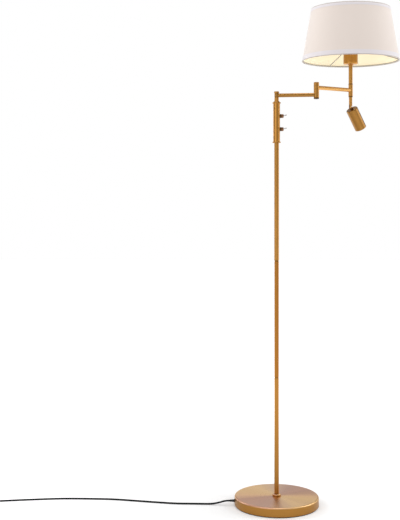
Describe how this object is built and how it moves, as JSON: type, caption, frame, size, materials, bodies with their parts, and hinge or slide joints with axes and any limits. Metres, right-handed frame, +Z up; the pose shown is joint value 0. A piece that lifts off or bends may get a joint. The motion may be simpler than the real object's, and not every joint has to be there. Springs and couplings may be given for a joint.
{
  "type": "floor lamp with swing arm and reading light",
  "caption": "Floor lamp: weighted round base, jointed pole with toggle switches, folding two-part arm, tapered drum shade and a small tilting tubular reading light.",
  "frame": {"origin": "centre of the base's underside, on the floor", "axes": "+Z up along the pole, +X from the pole towards the switch levers, -X towards the lead's outlet, +Y away from the camera"},
  "size_m": [1.3182, 0.3305, 1.5],
  "materials": {
    "brass": "satin, clear-lacquered",
    "iron": "as cast",
    "pad": "matt",
    "steel": "zinc plated",
    "bronze": "dark bronze, satin",
    "chrome": "polished",
    "black_plastic": "matt",
    "shade_cloth": "fine woven cotton",
    "shade_backing": "matt, translucent",
    "wire": "white powder coat",
    "lamp_white": "gloss",
    "glass": "opal",
    "sink": "milled",
    "lens": "frosted",
    "reflector": "vacuum coated",
    "cord": "matt black"
  },
  "bodies": {
    "stand": {"base_pad": "pad", "base_weight": "iron", "base_cover": "brass", "base_collar": "brass", "stand_nipples": "steel", "stand_nuts": "steel", "pole_couplers": "steel", "lower_pole": "brass", "middle_pole": "brass", "upper_pole": "brass", "switch_housing": "brass", "housing_bottom_cap": "brass", "housing_top_cap": "brass", "switch_bodies": "steel", "switch_saddles": "bronze", "switch_nuts": "bronze", "pivot_post": "brass", "pivot_cap": "brass", "cord_bush": "black_plastic", "inner_lead": "cord", "cord_run": "cord", "cord_coil": "cord", "plug_body": "cord", "plug_pins": "chrome"},
    "inner_arm": {"inner_hub": "brass", "inner_arm_tube": "brass", "elbow_lower_barrel": "brass", "elbow_bottom_nut": "bronze", "elbow_pin": "steel", "elbow_top_cap": "brass"},
    "outer_arm": {"elbow_upper_barrel": "brass", "outer_arm_tube": "brass", "tee_hub": "brass", "stem_ring": "bronze", "upper_stem": "brass", "cup_nipple": "steel", "cup_collar": "brass", "lamp_cup": "brass", "lampholder": "black_plastic", "shade_ring_nut": "black_plastic", "shade_fitter": "wire", "shade_top_ring": "wire", "shade_lining": "shade_backing", "shade_fabric": "shade_cloth", "shade_hems": "shade_cloth", "bulb_body": "lamp_white", "bulb_globe": "glass"},
    "reading_yoke": {"reading_stem": "brass", "pivot_screw": "steel", "swivel_washer": "bronze", "swivel_nut": "steel"},
    "reading_head": {"head_rear_cap": "brass", "head_eye": "brass", "head_tube": "brass", "led_module": "sink", "reflector": "reflector", "head_lens": "lens"},
    "upper_lever": {"upper_toggle": "chrome"},
    "lower_lever": {"lower_toggle": "chrome"}
  },
  "joints": [
    {"name": "arm_swing", "type": "hinge", "parent": "stand", "child": "inner_arm", "pos_m": [0, 0, 1.2285], "axis": [0, 0, 1], "range_deg": [-165, 165]},
    {"name": "elbow_swing", "type": "hinge", "parent": "inner_arm", "child": "outer_arm", "pos_m": [0.1175, -0.0161, 1.2525], "axis": [0, 0, 1], "range_deg": [-185, 105]},
    {"name": "reading_swivel", "type": "hinge", "parent": "outer_arm", "child": "reading_yoke", "pos_m": [0.23052, 0.05646, 1.24], "axis": [0, 0, 1], "range_deg": [-170, 170]},
    {"name": "reading_tilt", "type": "hinge", "parent": "reading_yoke", "child": "reading_head", "pos_m": [0.23052, 0.05646, 1.19985], "axis": [0.6101, -0.7923, 0], "range_deg": [-124.9, 55.1]},
    {"name": "upper_switch", "type": "hinge", "parent": "stand", "child": "upper_lever", "pos_m": [0.0155, 0, 1.167], "axis": [0, 1, 0], "range_deg": [0, 24]},
    {"name": "lower_switch", "type": "hinge", "parent": "stand", "child": "lower_lever", "pos_m": [0.0155, 0, 1.1277], "axis": [0, 1, 0], "range_deg": [0, 24]}
  ]
}
